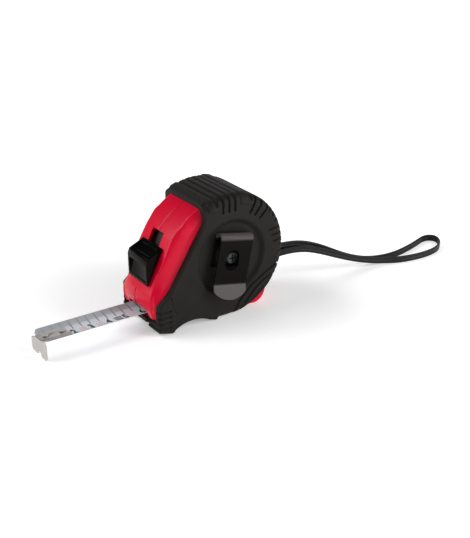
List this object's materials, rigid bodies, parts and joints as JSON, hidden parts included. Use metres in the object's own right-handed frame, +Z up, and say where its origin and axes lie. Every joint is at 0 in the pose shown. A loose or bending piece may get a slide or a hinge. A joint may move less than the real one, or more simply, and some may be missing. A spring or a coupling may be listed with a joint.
{
  "type": "tape measure",
  "caption": "Round-backed pocket tape measure with a slanted front, a curved steel blade pulled out and locked, rubber side grips, a folded belt clip and a looped wrist strap.",
  "frame": {"origin": "on the flat base, straight below the axis of the spool, in the middle of the thickness", "axes": "the blade comes out along -Y, +Z is up, the belt clip is on +X and the spool turns about X"},
  "size_m": [0.0469, 0.273, 0.0704],
  "materials": {
    "shell": "satin",
    "grip": "matte",
    "black_plastic": "satin",
    "gloss_black": "gloss",
    "steel": "satin",
    "clip_steel": "dark satin",
    "spring_steel": "blued",
    "zinc": "die cast",
    "spool_plastic": "moulded",
    "blade_paint": "satin lacquer",
    "strap": "matt vinyl"
  },
  "bodies": {
    "case": {"case_right": "shell", "case_left": "shell", "grip_right": "grip", "grip_left": "grip", "mouth_plate": "black_plastic", "hook_bumper": "grip", "case_screws": "steel", "axle_post": "zinc", "blade_lead": "blade_paint", "brake_springs": "spring_steel", "belt_clip": "clip_steel", "clip_screw": "steel", "strap_anchor": "black_plastic", "wrist_strap": "strap"},
    "spool": {"spool": "spool_plastic", "spool_cover": "spool_plastic", "blade_coil": "blade_paint", "mainspring": "spring_steel"},
    "blade": {"blade": "blade_paint", "hook_rivets": "steel"},
    "hook": {"end_hook": "steel"},
    "lock": {"lock_button": "gloss_black", "lock_tongue": "black_plastic", "lock_pad": "grip"},
    "brake": {"brake_button": "shell", "brake_pad": "grip"}
  },
  "joints": [
    {"name": "blade_slide", "type": "slide", "parent": "case", "child": "blade", "axis": [0, 1, 0], "range_m": [0, 0.058]},
    {"name": "spool_spin", "type": "hinge", "parent": "case", "child": "spool", "pos_m": [0, 0, 0.035], "axis": [1, 0, 0], "range_deg": [0, 165]},
    {"name": "hook_slide", "type": "slide", "parent": "blade", "child": "hook", "axis": [0, -1, 0], "range_m": [0, 0.0008]},
    {"name": "lock_slide", "type": "slide", "parent": "case", "child": "lock", "axis": [0, 0.44, 0.898], "range_m": [0, 0.006]},
    {"name": "brake_press", "type": "slide", "parent": "case", "child": "brake", "axis": [0, -0.5736, 0.8192], "range_m": [0, 0.002], "stiffness_N_per_m": 800, "springref_m": -0.0005, "deforming": ["brake_springs"]}
  ],
  "couplings": [
    {"joint": "spool_spin", "follows": "blade_slide", "rad_per_m": 48.78}
  ]
}
